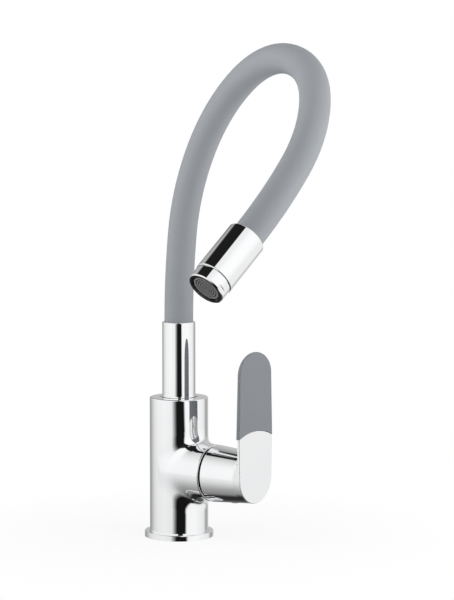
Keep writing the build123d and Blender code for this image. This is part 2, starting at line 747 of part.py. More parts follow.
def hose_piece(index, outer_radius, inner_radius, root_length, tip_length, label):
    """One layer of one link: a bent tube with a ball end above and a socket end below."""
    start = link_starts[index]
    end = stations[index + 1]
    with BuildPart() as tip:
        if index == last_link:
            with BuildSketch(end):
                ring_sketch(outer_radius, inner_radius)
            extrude(amount=tip_length)
        else:
            with BuildSketch(Plane(origin=end.origin, x_dir=end.x_dir, z_dir=end.y_dir * -1)):
                with BuildLine():
                    ball = ball_arc(outer_radius, inner_radius)
                    Polyline(ball @ 1, (inner_radius, 0), (outer_radius, 0))
                    if outer_radius < hose_radius:
                        Line((outer_radius, 0), ball @ 0)
                make_face()
            revolve(axis=Axis(end.origin, end.z_dir))
    with BuildPart() as piece:
        with BuildSketch(start):
            ring_sketch(outer_radius, inner_radius)
        revolve(axis=bend_axes[index], revolution_arc=link_bends[index])
        add(tip.part)
        if index == 0:
            with BuildSketch(start):
                ring_sketch(outer_radius, inner_radius)
            extrude(amount=-root_length)
        else:
            split(bisect_by=start.offset(socket_lip), keep=Keep.TOP)
            with Locations(start):
                Sphere(hose_radius + socket_gap, mode=Mode.SUBTRACT)
    write(piece.part, label)


# The arm and the water hose run on into both end fittings, past the ends of the sleeve
arm_root = stem_top - fitting_shoulder_z - fitting_flange - assembly_clearance
arm_tip = hose_insertion + upper_cup_depth - assembly_clearance
sleeve_root = arm_root - fitting_cup_depth
for index in range(len(link_bends)):
    number = str(index + 1)
    hose_piece(
        index, hose_radius, hose_sleeve_bore / 2, sleeve_root, hose_insertion, "hose_sleeve_" + number
    )
    hose_piece(index, arm_diameter / 2, arm_bore / 2, arm_root, arm_tip, "flex_arm_" + number)
    hose_piece(
        index, water_hose_diameter / 2, water_hose_bore / 2, arm_root, arm_tip, "water_hose_" + number
    )


def end_fitting(seat, flange, cup_depth, label):
    """A fitting on the given plane: a flange, a cup for the flexible arm and a nipple for the water hose."""
    with BuildPart() as fitting:
        with BuildSketch(seat):
            ring_sketch(fitting_radius, nipple_bore / 2)
        extrude(amount=flange + cup_depth)
        with BuildSketch(seat.offset(flange)):
            ring_sketch(arm_diameter / 2 + assembly_clearance, water_hose_bore / 2 - assembly_clearance)
        extrude(amount=cup_depth, mode=Mode.SUBTRACT)
    write(fitting.part, label)


lower_seat = Plane.XY.offset(fitting_shoulder_z)
fitting_seat_s = hose_insertion + upper_cup_depth + upper_flange
upper_seat = Plane(
    origin=outlet.origin + outlet.z_dir * fitting_seat_s, x_dir=outlet.x_dir, z_dir=outlet.z_dir * -1
)
end_fitting(lower_seat, fitting_flange, fitting_cup_depth - assembly_clearance, "hose_lower_fitting")
end_fitting(upper_seat, upper_flange, upper_cup_depth - assembly_clearance, "hose_upper_fitting")

# Nozzle sleeve over the hose's end, with a thread in its mouth for the aerator
thread_radius = aerator_thread_diameter / 2
with BuildPart() as nozzle_sleeve:
    with BuildSketch(outlet):
        Circle(nozzle_diameter / 2)
    extrude(amount=nozzle_length)
    fillet(nozzle_sleeve.edges().filter_by(GeomType.CIRCLE), nozzle_edge_radius)
    with BuildSketch(outlet):
        Circle(stem_bore_radius)
    extrude(amount=nozzle_length, mode=Mode.SUBTRACT)
    with BuildSketch(outlet.offset(fitting_seat_s)):
        Circle(thread_radius)
    extrude(amount=nozzle_length - fitting_seat_s, mode=Mode.SUBTRACT)
write(nozzle_sleeve.part, "nozzle_sleeve")

with BuildPart() as nozzle_washer:
    with BuildSketch(outlet.offset(fitting_seat_s)):
        ring_sketch(thread_radius - assembly_clearance, washer_bore / 2)
    extrude(amount=washer_thickness)
write(nozzle_washer.part, "nozzle_washer")

# Aerator housing: a threaded collar in the sleeve and a flange below it with two spanner flats
spigot_s = fitting_seat_s + washer_thickness
flange_s = nozzle_length + aerator_gap
outlet_s = flange_s + aerator_flange_length
along_outlet = Plane(origin=outlet.origin, x_dir=outlet.x_dir, z_dir=outlet.y_dir * -1)
outlet_axis = Axis(outlet.origin, outlet.z_dir)
with BuildPart() as aerator_housing:
    with BuildSketch(along_outlet):
        with BuildLine():
            Polyline(
                (0, spigot_s),
                (thread_radius - assembly_clearance, spigot_s),
                (thread_radius - assembly_clearance, flange_s),
                (aerator_flange_diameter / 2, flange_s),
                (aerator_flange_diameter / 2, outlet_s - aerator_bevel),
                (aerator_rim_diameter / 2, outlet_s),
                (0, outlet_s),
                close=True,
            )
        make_face()
    revolve(axis=outlet_axis)
    with BuildSketch(outlet.offset(spigot_s)):
        Circle(aerator_bore / 2)
    extrude(amount=outlet_s - spigot_s, mode=Mode.SUBTRACT)
    with BuildSketch(outlet.offset(outlet_s - aerator_flat_length)):
        Rectangle(2 * nozzle_diameter, 2 * nozzle_diameter, rotation=aerator_flat_turn)
        Rectangle(2 * nozzle_diameter, aerator_flat_width, rotation=aerator_flat_turn, mode=Mode.SUBTRACT)
    extrude(amount=aerator_flat_length, mode=Mode.SUBTRACT)
write(aerator_housing.part, "aerator_housing")

# Aerator insert, a plastic plug with ring grooves in its outlet face and a step round its rim
insert_face_s = outlet_s - insert_setback
ring_pitch = insert_face_diameter / 2 / (insert_ring_count + 0.5)
with BuildPart() as aerator_insert:
    with BuildSketch(outlet.offset(insert_face_s - insert_length)):
        Circle(insert_diameter / 2)
    extrude(amount=insert_length)
    with BuildSketch(outlet.offset(insert_face_s - insert_rim_depth)):
        ring_sketch(insert_diameter, insert_face_diameter / 2)
    extrude(amount=insert_rim_depth, mode=Mode.SUBTRACT)
    for ring_number in range(1, insert_ring_count + 1):
        ring_radius = (ring_number - 0.5) * ring_pitch
        with BuildSketch(outlet.offset(insert_face_s)):
            ring_sketch(ring_radius + insert_ring_width / 2, ring_radius - insert_ring_width / 2)
        extrude(amount=-insert_ring_depth, mode=Mode.SUBTRACT)
write(aerator_insert.part, "aerator_insert")
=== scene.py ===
import math

import bpy
from mathutils import Matrix, Vector


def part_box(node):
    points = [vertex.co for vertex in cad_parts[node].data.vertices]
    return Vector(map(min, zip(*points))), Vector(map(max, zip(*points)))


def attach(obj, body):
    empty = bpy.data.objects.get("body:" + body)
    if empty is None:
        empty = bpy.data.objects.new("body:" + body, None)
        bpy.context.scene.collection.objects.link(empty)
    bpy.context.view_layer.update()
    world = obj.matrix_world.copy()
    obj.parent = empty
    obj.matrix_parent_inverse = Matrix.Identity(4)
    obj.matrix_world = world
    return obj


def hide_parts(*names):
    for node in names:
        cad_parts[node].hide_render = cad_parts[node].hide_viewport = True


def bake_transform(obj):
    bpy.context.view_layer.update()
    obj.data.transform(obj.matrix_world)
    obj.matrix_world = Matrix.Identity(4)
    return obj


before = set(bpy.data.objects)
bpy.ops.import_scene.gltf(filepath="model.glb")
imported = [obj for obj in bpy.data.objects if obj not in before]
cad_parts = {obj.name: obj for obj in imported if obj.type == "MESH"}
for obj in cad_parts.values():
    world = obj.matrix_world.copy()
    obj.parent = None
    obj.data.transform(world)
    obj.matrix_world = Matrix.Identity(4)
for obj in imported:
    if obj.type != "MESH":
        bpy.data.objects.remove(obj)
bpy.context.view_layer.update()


# Body casting: one brass casting, a column on the sink with a branch to its right, turned,
# ground and polished all over, then plated with nickel and chromium. Its mirror finish has
# a very slight waviness from the polishing wheel, and thin smears where hands touch it.
def feed(tree, source, socket):
    """Link a socket to a source, or set it to a number, a vector or a colour."""
    if isinstance(source, bpy.types.NodeSocket):
        tree.links.new(source, socket)
    elif socket.type == "RGBA":
        socket.default_value = (*source, 1.0)
    else:
        socket.default_value = source


def add_node(tree, kind, sources, **settings):
    """A node with its settings made and its inputs fed, given back as its outputs."""
    node = tree.nodes.new(kind)
    for label, value in settings.items():
        setattr(node, label, value)
    for label, source in sources.items():
        feed(tree, source, node.inputs[label])
    return node.outputs


def add_math(tree, operation, *sources):
    """The result of an operation on numbers."""
    return add_node(tree, "ShaderNodeMath", dict(enumerate(sources)), operation=operation)["Value"]


def add_vector(tree, operation, *sources):
    """An operation on vectors, given back as its outputs."""
    return add_node(tree, "ShaderNodeVectorMath", dict(enumerate(sources)), operation=operation)


def add_place(tree):
    """The place on a piece at rest, in metres in the part's own frame."""
    return add_node(tree, "ShaderNodeTexCoord", {})["Object"]


def add_parts(tree, vector):
    """The X, Y and Z of a vector."""
    return add_node(tree, "ShaderNodeSeparateXYZ", {"Vector": vector})


def add_range(tree, source, low, high, new_low, new_high):
    """The source value, moved from one range to another and held at its ends."""
    ends = {"From Min": low, "From Max": high, "To Min": new_low, "To Max": new_high}
    return add_node(tree, "ShaderNodeMapRange", {"Value": source, **ends})["Result"]


def add_mask(tree, source, start, full):
    """A mask that goes from 0 to 1 while the source goes from start to full."""
    return add_range(tree, source, start, full, 0.0, 1.0)


def add_mix(tree, factor, first, second, data_type="FLOAT"):
    """The value that goes from the first to the second with the factor."""
    sources = {"Factor": factor, "A": first, "B": second}
    return add_node(tree, "ShaderNodeMix", sources, data_type=data_type)["Result"]


def add_tint(tree, factor, first, second):
    """The colour that goes from the first to the second with the factor."""
    return add_mix(tree, factor, first, second, "RGBA")


def add_noise(tree, scale, detail):
    """Noise all over a piece, at a scale per metre."""
    sources = {"Vector": add_place(tree), "Scale": scale, "Detail": detail}
    return add_node(tree, "ShaderNodeTexNoise", sources)["Fac"]


def new_group(name, inputs, outputs):
    """An empty node group with named inputs, their values and named outputs, and its sockets inside."""
    group = bpy.data.node_groups.new(name, "ShaderNodeTree")
    for label, value in inputs.items():
        socket = group.interface.new_socket(label, in_out="INPUT", socket_type="NodeSocketFloat")
        socket.default_value = value
    for label in outputs:
        group.interface.new_socket(label, in_out="OUTPUT", socket_type="NodeSocketFloat")
    inlet = group.nodes.new("NodeGroupInput")
    outlet = group.nodes.new("NodeGroupOutput")
    return group, inlet.outputs, outlet.inputs


def make_drift_group():
    """Slow drift over a surface, and the sparse smears that handling leaves on it."""
    scales = {"Drift Scale": 30.0, "Smear Scale": 60.0}
    group, inlet, outlet = new_group("surface_drift", scales, ("Drift", "Smears"))
    drift = add_noise(group, inlet["Drift Scale"], detail=2.0)
    smears = add_noise(group, inlet["Smear Scale"], detail=5.0)
    feed(group, drift, outlet["Drift"])
    feed(group, add_mask(group, smears, start=0.55, full=0.75), outlet["Smears"])
    return group


def place_group(tree, group, values):
    """The group, placed in a material with its own values, given back as its outputs."""
    return add_node(tree, "ShaderNodeGroup", values, node_tree=group)


def new_material(name, fixed=None):
    """A material, its node tree and its Principled BSDF, with what is the same all over set on it."""
    material = bpy.data.materials.new(name)
    material.use_nodes = True
    shader = material.node_tree.nodes["Principled BSDF"]
    for label, value in (fixed or {}).items():
        shader.inputs[label].default_value = value
    return material, material.node_tree, shader


def finish_surface(tree, shader, colour, roughness, height, relief):
    """Give a surface its colour and roughness, and a bump whose height of 1 is the relief in metres."""
    bump = add_node(tree, "ShaderNodeBump", {"Strength": 1.0, "Distance": relief, "Height": height})
    feed(tree, colour, shader.inputs["Base Color"])
    feed(tree, roughness, shader.inputs["Roughness"])
    feed(tree, bump["Normal"], shader.inputs["Normal"])


surface_drift = make_drift_group()
chrome_shades = ((0.905, 0.912, 0.922), (0.945, 0.948, 0.952))
polished_roughness = 0.025
smeared_roughness = 0.07
polish_waviness = 0.00002
# A dark colour painted as shade inside the hollows of the castings.
hollow_painted_shade = (0.11, 0.105, 0.10)
as_cast_roughness = 0.55
buffed_roughness = 0.5
branch_height = 0.052
lever_pivot = Vector((0.027, 0.0, branch_height))
bore_radius = 0.0206
bore_floor = 0.003
mask_fade = 0.0001


def make_chrome(name, mask_dull_and_shaded=None, mask_buffed=None):
    """Polished chrome, which a mask may leave dull as it was cast and darkened with painted shade, or
    softly buffed.
    """
    material, tree, shader = new_material(name, {"Metallic": 1.0})
    drift = place_group(tree, surface_drift, {"Drift Scale": 28.0, "Smear Scale": 75.0})
    colour = add_tint(tree, drift["Drift"], *chrome_shades)
    roughness = add_range(tree, drift["Smears"], 0.0, 1.0, polished_roughness, smeared_roughness)
    if mask_dull_and_shaded:
        dull_and_shaded = mask_dull_and_shaded(tree)
        # Painted shade: where the mask is, the colour is painted dark as shade in the hollow, and the
        # roughness is that of the bare casting.
        colour = add_tint(tree, dull_and_shaded, colour, hollow_painted_shade)
        roughness = add_mix(tree, dull_and_shaded, roughness, as_cast_roughness)
    if mask_buffed:
        roughness = add_mix(tree, mask_buffed(tree), roughness, buffed_roughness)
    finish_surface(tree, shader, colour, roughness, drift["Drift"], polish_waviness)
    return material


def mask_hollow(tree, axes, radius):
    """A mask of what lies within a radius of the lever's pivot, measured along the given axes."""
    offset = add_vector(tree, "SUBTRACT", add_place(tree), lever_pivot)["Vector"]
    across = add_vector(tree, "MULTIPLY", offset, axes)["Vector"]
    return add_mask(tree, add_vector(tree, "LENGTH", across)["Value"], radius + mask_fade, radius)


def mask_bore(tree):
    """The bore that holds the cartridge, from its floor to the branch's mouth."""
    along = add_parts(tree, add_place(tree))["X"]
    past_floor = add_mask(tree, along, bore_floor, bore_floor + mask_fade)
    return add_math(tree, "MULTIPLY", mask_hollow(tree, (0.0, 1.0, 1.0), bore_radius), past_floor)


def dress(material, slot, *nodes):
    """Give the CAD nodes this material in place of the plain one."""
    for node in nodes:
        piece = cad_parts[node]
        for material_slot in piece.material_slots:
            material_slot.material = material


chrome = make_chrome("polished_chrome")
# Painted shade: the bore inside the casting is left dull as cast, and painted dark as the shade in it.
dress(make_chrome("casting_chrome", mask_dull_and_shaded=mask_bore), "chrome", "body_casting")


# Blend of the casting: where the branch leaves the column the casting swells softly into both
# walls, and the polishing wheel leaves no line there. It is a closed skin sunk in the casting.
column_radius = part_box("body_casting")[1].y
branch_radius = 0.02175

# The blend runs from a ring round the branch, at blend_end_x, to an oval on the column that
# reaches blend_half_turn round it each way and blend_half_height up and down.
blend_reach_square = 0.013
blend_reach_level = 0.004
blend_end_x = 0.0335
blend_half_turn = math.radians(112)
blend_half_height = 0.0362
blend_sides = 192
blend_branch_rows = 30
blend_branch_crowding = 0.7
blend_column_rows = 44
blend_column_crowding = 1.4
blend_proud = 0.00002
blend_sunk = 0.00008
blend_edge_share = 0.12
blend_skin = 0.001
slope_step = 0.00001
settle_steps = 5


def casting_distance(point):
    """How far a point stands out of the column and branch, with their walls run into each other.

    The walls are joined by a cubic smooth minimum. It reaches further where they cross square,
    above and below the branch, than where they lie nearly level, at the column's front and back.
    """
    radius = math.hypot(point.x, point.y)
    branch_distance = math.hypot(point.y, point.z - branch_height)
    column = radius - column_radius
    branch = branch_distance - branch_radius
    if point.x < 0.0:
        branch = math.hypot(point.x, max(branch, 0.0))
    level = point.y**2 / (radius * branch_distance)
    reach = blend_reach_level * level + blend_reach_square * (1.0 - level)
    overlap = max(1.0 - abs(column - branch) / reach, 0.0)
    return min(column, branch) - reach * overlap**3 / 6.0


def casting_slope(point):
    """The direction in which the distance from the casting grows fastest."""
    slope = []
    for axis in range(3):
        ahead = point.copy()
        behind = point.copy()
        ahead[axis] += slope_step
        behind[axis] -= slope_step
        slope.append((casting_distance(ahead) - casting_distance(behind)) / (2 * slope_step))
    return Vector(slope)


def settle(point):
    """The point moved onto the casting's surface, and the surface's normal there."""
    for _ in range(settle_steps):
        slope = casting_slope(point)
        point = point - slope * (casting_distance(point) / slope.length_squared)
    return point, casting_slope(point).normalized()


def blend_row_points(row):
    """One ring of the blend, from near the branch's mouth over the meeting line to the plain column."""
    for side in range(blend_sides):
        angle = math.tau * side / blend_sides
        across = branch_radius * math.cos(angle)
        rise = branch_radius * math.sin(angle)
        meeting_x = math.sqrt(column_radius**2 - across**2)
        if row <= blend_branch_rows:
            share = (row / blend_branch_rows) ** blend_branch_crowding
            x = blend_end_x + (meeting_x - blend_end_x) * share
            yield Vector((x, across, branch_height + rise))
        else:
            share = ((row - blend_branch_rows) / blend_column_rows) ** blend_column_crowding
            meeting_turn = math.atan2(across, meeting_x)
            turn = meeting_turn + (blend_half_turn * math.cos(angle) - meeting_turn) * share
            z = branch_height + (rise + (blend_half_height * math.sin(angle) - rise) * share)
            yield Vector((column_radius * math.cos(turn), column_radius * math.sin(turn), z))


def add_object(name, data):
    """A new object in the scene that holds a mesh, a lamp or a camera."""
    added = bpy.data.objects.new(name, data)
    bpy.context.scene.collection.objects.link(added)
    return added


def make_skin(name, points, faces, normals):
    """A smooth skin as a new object, with the true normals of the surface that it stands for."""
    mesh = bpy.data.meshes.new(name)
    mesh.from_pydata(points, [], faces)
    mesh.polygons.foreach_set("use_smooth", [True] * len(faces))
    mesh.normals_split_custom_set_from_vertices(normals)
    return add_object(name, mesh)


def make_casting_blend():
    """The blend as a closed skin: an outer sheet just proud of the casting, and one sunk in it."""
    last_row = blend_branch_rows + blend_column_rows
    outer = []
    inner = []
    normals = []
    for row in range(last_row + 1):
        edge = min(row, last_row - row) / (blend_edge_share * last_row)
        lift = blend_proud - (blend_proud + blend_sunk) * max(1.0 - edge, 0.0) ** 2
        for start in blend_row_points(row):
            point, normal = settle(start)
            outer.append(point + normal * lift)
            inner.append(point - normal * blend_skin)
            normals.append(normal)
    faces = []
    inside = len(outer)
    for row in range(last_row):
        for side in range(blend_sides):
            here = row * blend_sides + side
            beside = row * blend_sides + (side + 1) % blend_sides
            next_here = here + blend_sides
            next_beside = beside + blend_sides
            faces.append((here, next_here, next_beside, beside))
            faces.append((here + inside, beside + inside, next_beside + inside, next_here + inside))
    end = last_row * blend_sides
    for side in range(blend_sides):
        beside = (side + 1) % blend_sides
        faces.append((side, beside, beside + inside, side + inside))
        faces.append((end + side, end + side + inside, end + beside + inside, end + beside))
    both_sides = normals + [-normal for normal in normals]
    return make_skin("casting_blend", outer + inner, faces, both_sides)


casting_blend = make_casting_blend()
casting_blend.data.materials.append(chrome)
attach(casting_blend, "body")


# Base ring and gasket: a chromed ring turned from brass, which the column stands in and which
# covers the tap hole, and the black rubber gasket in its groove that seals it on the sink.
dress(chrome, "chrome", "base_ring")


def make_grain_group():
    """Fine grain of a moulded or ground surface, and the specks in it."""
    group, inlet, outlet = new_group("fine_grain", {"Grain Scale": 2500.0}, ("Grain", "Specks"))
    grain = add_noise(group, inlet["Grain Scale"], detail=3.0)
    feed(group, grain, outlet["Grain"])
    feed(group, add_mask(group, grain, start=0.62, full=0.78), outlet["Specks"])
    return group


fine_grain = make_grain_group()
grain_spread = (0.3, 0.7)


def finish_grained(tree, shader, shades, roughness, relief, drift_scale, grain_scale):
    """Shades that drift slowly over a surface, with a fine grain in its roughness and its relief."""
    drift = place_group(tree, surface_drift, {"Drift Scale": drift_scale})["Drift"]
    grain = place_group(tree, fine_grain, {"Grain Scale": grain_scale})["Grain"]
    uneven = add_range(tree, grain, *grain_spread, *roughness)
    finish_surface(tree, shader, add_tint(tree, drift, *shades), uneven, grain, relief)


def make_rubber(name, shades, roughness):
    """Moulded rubber, with a fine dusty grain."""
    material, tree, shader = new_material(name)
    scales = {"drift_scale": 90.0, "grain_scale": 3200.0}
    finish_grained(tree, shader, shades, roughness, relief=0.00003, **scales)
    return material


black_rubber = make_rubber("black_rubber", ((0.016, 0.016, 0.017), (0.036, 0.036, 0.037)), (0.55, 0.75))
dress(black_rubber, "black_rubber", "base_gasket")


# Cartridge: the 35 mm mixing cartridge in the branch, an acetal base, housing, rotor and disc
# carrier round two lapped ceramic discs. Rubber seals stand between its base and the casting.
def make_acetal():
    """Natural acetal as it comes from the mould, milky white with a satin grain."""
    material, tree, shader = new_material("natural_acetal")
    shades = ((0.70, 0.70, 0.66), (0.80, 0.80, 0.77))
    scales = {"drift_scale": 60.0, "grain_scale": 1800.0}
    finish_grained(tree, shader, shades, roughness=(0.3, 0.45), relief=0.00002, **scales)
    return material


def make_ceramic():
    """Lapped ceramic, smooth and cream white, with a faint uneven sheen."""
    material, tree, shader = new_material("lapped_ceramic")
    drift = place_group(tree, surface_drift, {"Drift Scale": 120.0, "Smear Scale": 300.0})
    colour = add_tint(tree, drift["Drift"], (0.80, 0.78, 0.72), (0.88, 0.86, 0.81))
    feed(tree, colour, shader.inputs["Base Color"])
    feed(tree, add_range(tree, drift["Smears"], 0.0, 1.0, 0.12, 0.22), shader.inputs["Roughness"])
    return material


acetal = make_acetal()
dress(acetal, "cartridge_plastic", "cartridge_base", "cartridge_housing")
dress(acetal, "cartridge_plastic", "cartridge_rotor", "disc_carrier")
dress(make_ceramic(), "ceramic", "fixed_disc", "moving_disc")
dress(black_rubber, "black_rubber", "cartridge_seals")


# Retaining nut and dome cap: the brass nut that holds the cartridge in, left as it was turned,
# and the chromed cap pressed from thin brass that covers the nut under the lever's hub.
def make_turned_metal(name, shades, roughness):
    """Metal with the fine marks and dull patches that turning leaves."""
    material, tree, shader = new_material(name, {"Metallic": 1.0})
    scales = {"drift_scale": 45.0, "grain_scale": 4200.0}
    finish_grained(tree, shader, shades, roughness, relief=0.000008, **scales)
    return material


brass = make_turned_metal("turned_brass", ((0.60, 0.43, 0.17), (0.74, 0.56, 0.26)), (0.2, 0.32))
dress(brass, "brass", "cartridge_nut")
dress(chrome, "chrome", "dome_cap")


# Lever: a chromed zinc casting, a hub over the branch's mouth with a flat paddle that stands up
# from it. The steel spindle of the cartridge goes into the hub, where a grub screw clamps it.
# A small grey plastic plug hides the screw.
steel = make_turned_metal("stainless_steel", ((0.50, 0.50, 0.51), (0.64, 0.64, 0.65)), (0.22, 0.36))
dress(steel, "steel", "spindle", "pivot_pin", "grub_screw")
hub_hollow_radius = 0.0234
face_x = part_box("lever_handle")[1].x
face_edge_width = 0.0009
face_edge_fade = 0.0003
face_gap = 0.00001
face_fade = 0.00002


def mask_hub_hollow(tree):
    """The hollow of the hub, where it goes round the dome cap."""
    return mask_hollow(tree, (1.0, 1.0, 1.0), hub_hollow_radius)


def mask_face_edge(tree):
    """The eased edge round the lever's flat face, but not the face."""
    along = add_parts(tree, add_place(tree))["X"]
    start = face_x - face_edge_width
    end = face_x - face_gap
    behind_face = add_mask(tree, along, end, end - face_fade)
    return add_math(tree, "MULTIPLY", add_mask(tree, along, start, start + face_edge_fade), behind_face)


# Painted shade: the hub's hollow round the dome cap is left dull as cast, and painted dark as the shade
# in it.
lever_chrome = make_chrome("lever_chrome", mask_dull_and_shaded=mask_hub_hollow, mask_buffed=mask_face_edge)
dress(lever_chrome, "chrome", "lever_handle")


def make_moulded_plastic(name, shades, roughness, grain_scale, relief):
    """Moulded plastic with an even satin grain and a slow drift in its shade."""
    material, tree, shader = new_material(name)
    drift = place_group(tree, surface_drift, {"Drift Scale": 35.0, "Smear Scale": 90.0})
    grain = place_group(tree, fine_grain, {"Grain Scale": grain_scale})["Grain"]
    handled = add_range(tree, drift["Smears"], 0.0, 1.0, *roughness)
    finish_surface(tree, shader, add_tint(tree, drift["Drift"], *shades), handled, grain, relief)
    return material


index_shades = ((0.16, 0.165, 0.175), (0.19, 0.195, 0.205))
index_plastic = make_moulded_plastic("index_plastic", index_shades, (0.18, 0.26), 2000.0, 0.000004)
dress(index_plastic, "index_plastic", "index_plug")


# Grip: a satin grey cover moulded in two-part plastic and pushed over the lever's tongue. Its
# edges are rounded, and it stands a hair proud of the chrome all round.
grip_shades = ((0.222, 0.239, 0.258), (0.238, 0.255, 0.273))
grip_plastic = make_moulded_plastic("grip_plastic", grip_shades, (0.36, 0.42), 2600.0, 0.000012)
dress(grip_plastic, "grip_plastic", "lever_grip")


# Stem: a chromed brass tube that turns in the column's socket on two seal rings and an acetal
# bush. A grub screw in the column's rear wall, run in the stem's groove, keeps it in.
dress(chrome, "chrome", "stem_tube")
dress(black_rubber, "black_rubber", "stem_seal_rings")
dress(acetal, "cartridge_plastic", "swivel_bush")
dress(steel, "steel", "spout_retaining_screw")


# Hose: a flexible steel arm round a thin water hose, inside a grey silicone sleeve that is one
# smooth moulding from the stem to the nozzle. The route repeats the links of the model, and
# each piece of the sleeve runs from the middle of one link to the middle of the next.
link_length = 0.067
link_bends = (5, 18, 34.5, 47, 40.5, 24.5, 9)
link_turns = (21.5, -12, -31, -4.5, -19, -23.5, -7.5)
link_bodies = ("spout", "hose_2", "hose_3", "hose_4", "hose_5", "hose_6", "nozzle")
link_count = len(link_bends)
sleeve_radius = 0.011
sleeve_bore_radius = 0.0082
sleeve_root = 0.0149
sleeve_tip = 0.0099
sleeve_sides = 64
ring_spacing = 0.0015


def hose_stations(root):
    """The start of each link: its place, its direction, the side that it bends to, and the side
    from which the points of a ring are counted. The last one is the end of the last link."""
    place = root
    direction = Vector((0.0, 0.0, 1.0))
    reference = Vector((1.0, 0.0, 0.0))
    towards = reference
    found = []
    for bend, turn in zip(link_bends, link_turns):
        towards = Matrix.Rotation(math.radians(turn), 3, direction) @ towards
        found.append((place, direction, towards, reference))
        radius = link_length / math.radians(bend)
        swing = Matrix.Rotation(math.radians(bend), 3, direction.cross(towards))
        place = place + towards * radius - (swing @ towards) * radius
        direction = swing @ direction
        towards = swing @ towards
        reference = swing @ reference
    found.append((place, direction, towards, reference))
    return found


def hose_ring(stations, distance):
    """The centre, direction and counting side of the hose at a distance from the stem's mouth."""
    index = min(max(int(distance / link_length), 0), link_count)
    place, direction, towards, reference = stations[index]
    along = distance - index * link_length
    if along < 0 or index == link_count:
        return place + direction * along, direction, reference
    radius = link_length / math.radians(link_bends[index])
    swing = Matrix.Rotation(along / radius, 3, direction.cross(towards))
    return place + towards * radius - (swing @ towards) * radius, swing @ direction, swing @ reference


def make_sleeve_piece(name, stations, first, last):
    """A closed length of the sleeve between two distances, with the true normals of the bent tube."""
    steps = max(2, round((last - first) / ring_spacing))
    points = []
    normals = []
    for step in range(steps + 1):
        centre, direction, reference = hose_ring(stations, first + (last - first) * step / steps)
        across = direction.cross(reference)
        for radius, sign in ((sleeve_radius, 1.0), (sleeve_bore_radius, -1.0)):
            for side in range(sleeve_sides):
                angle = math.tau * side / sleeve_sides
                outward = reference * math.cos(angle) + across * math.sin(angle)
                points.append(centre + outward * radius)
                normals.append(outward * sign)
    inside = sleeve_sides
    ring = 2 * sleeve_sides
    faces = []
    for step in range(steps):
        for side in range(sleeve_sides):
            here = step * ring + side
            beside = step * ring + (side + 1) % sleeve_sides
            faces.append((here, beside, beside + ring, here + ring))
            faces.append((here + inside, here + inside + ring, beside + inside + ring, beside + inside))
    top = steps * ring
    for side in range(sleeve_sides):
        beside = (side + 1) % sleeve_sides
        faces.append((side, side + inside, beside + inside, beside))
        faces.append((top + side, top + beside, top + beside + inside, top + side + inside))
    return make_skin(name, points, faces, normals)


def make_silicone():
    """Matt grey silicone, with pale specks of dust in its fine grain."""
    material, tree, shader = new_material("grey_silicone", {"Specular IOR Level": 0.42})
    drift = place_group(tree, surface_drift, {"Drift Scale": 22.0})["Drift"]
    grain = place_group(tree, fine_grain, {"Grain Scale": 1900.0})
    tint = add_tint(tree, drift, (0.310, 0.328, 0.350), (0.345, 0.363, 0.385))
    dust = add_range(tree, grain["Specks"], 0.0, 1.0, 0.0, 0.25)
    colour = add_tint(tree, dust, tint, (0.40, 0.415, 0.43))
    roughness = add_range(tree, grain["Grain"], *grain_spread, 0.5, 0.62)
    finish_surface(tree, shader, colour, roughness, grain["Grain"], relief=0.00003)
    return material


silicone = make_silicone()
stations = hose_stations(Vector((0.0, 0.0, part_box("stem_tube")[1].z)))
middles = [(index + 0.5) * link_length for index in range(link_count)]
cuts = [-sleeve_root] + middles + [link_count * link_length + sleeve_tip]
for index, (first, last) in enumerate(zip(cuts, cuts[1:])):
    segment = make_sleeve_piece("silicone_sleeve_" + str(index + 1), stations, first, last)
    segment.data.materials.append(silicone)
    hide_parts("hose_sleeve_" + str(min(index + 1, link_count)))
    if index == 0:
        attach(segment, link_bodies[0])
    elif index == link_count:
        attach(segment, link_bodies[-1])
    else:
        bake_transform(segment)

lining = make_rubber("lining_hose", ((0.62, 0.62, 0.58), (0.70, 0.70, 0.66)), (0.35, 0.5))
for number in range(1, link_count + 1):
    dress(steel, "steel", "flex_arm_" + str(number))
    dress(lining, "water_hose_rubber", "water_hose_" + str(number))
dress(brass, "brass", "hose_lower_fitting", "hose_upper_fitting")


# Nozzle: a chromed brass sleeve over the hose's end, with a washer and the aerator screwed into
# its mouth. The aerator's chromed housing has two spanner flats, and its insert is grey plastic
# whose grooves round its openings are painted dark, as painted shade.
dress(chrome, "chrome", "nozzle_sleeve", "aerator_housing")
dress(black_rubber, "black_rubber", "nozzle_washer")
groove_floor = 0.0468
groove_lip = 0.0477


def make_aerator_plastic():
    """Grey plastic, with painted shade down in the grooves of its outlet face."""
    material, tree, shader = new_material("aerator_plastic")
    hose_tip, outwards, _, _ = stations[-1]
    from_tip = add_vector(tree, "SUBTRACT", add_place(tree), hose_tip)["Vector"]
    reach = add_vector(tree, "DOT_PRODUCT", from_tip, outwards)["Value"]
    grain = place_group(tree, fine_grain, {"Grain Scale": 3000.0})["Grain"]
    tint = add_tint(tree, grain, (0.21, 0.21, 0.215), (0.27, 0.27, 0.275))
    # Painted shade: below the face the grooves are painted near black, where shade would fall in them.
    colour = add_tint(tree, add_mask(tree, reach, groove_lip, groove_floor), tint, (0.012, 0.012, 0.013))
    roughness = add_range(tree, grain, *grain_spread, 0.4, 0.55)
    finish_surface(tree, shader, colour, roughness, grain, relief=0.00001)
    return material


dress(make_aerator_plastic(), "aerator_plastic", "aerator_insert")


# Studio: a plain white sweep that keeps only a faint shadow, lit by a soft white tent. Polished
# metal shows the tent's bright walls and table, a narrow dark slit towards the camera and a dark
# panel overhead. Dull surfaces gather a softer light from the sides, and from four lamps.
camera_azimuth = math.radians(37.8)
camera_distance = 1.712
camera_side = 0.0369
camera_height = 0.338
camera_pitch = math.radians(5.2)
photo_height = 600
focal_pixels = 2247
hose_middle = Vector((0.1, -0.05, 0.33))
lamp_distance = 0.6
lamp_size = 0.4

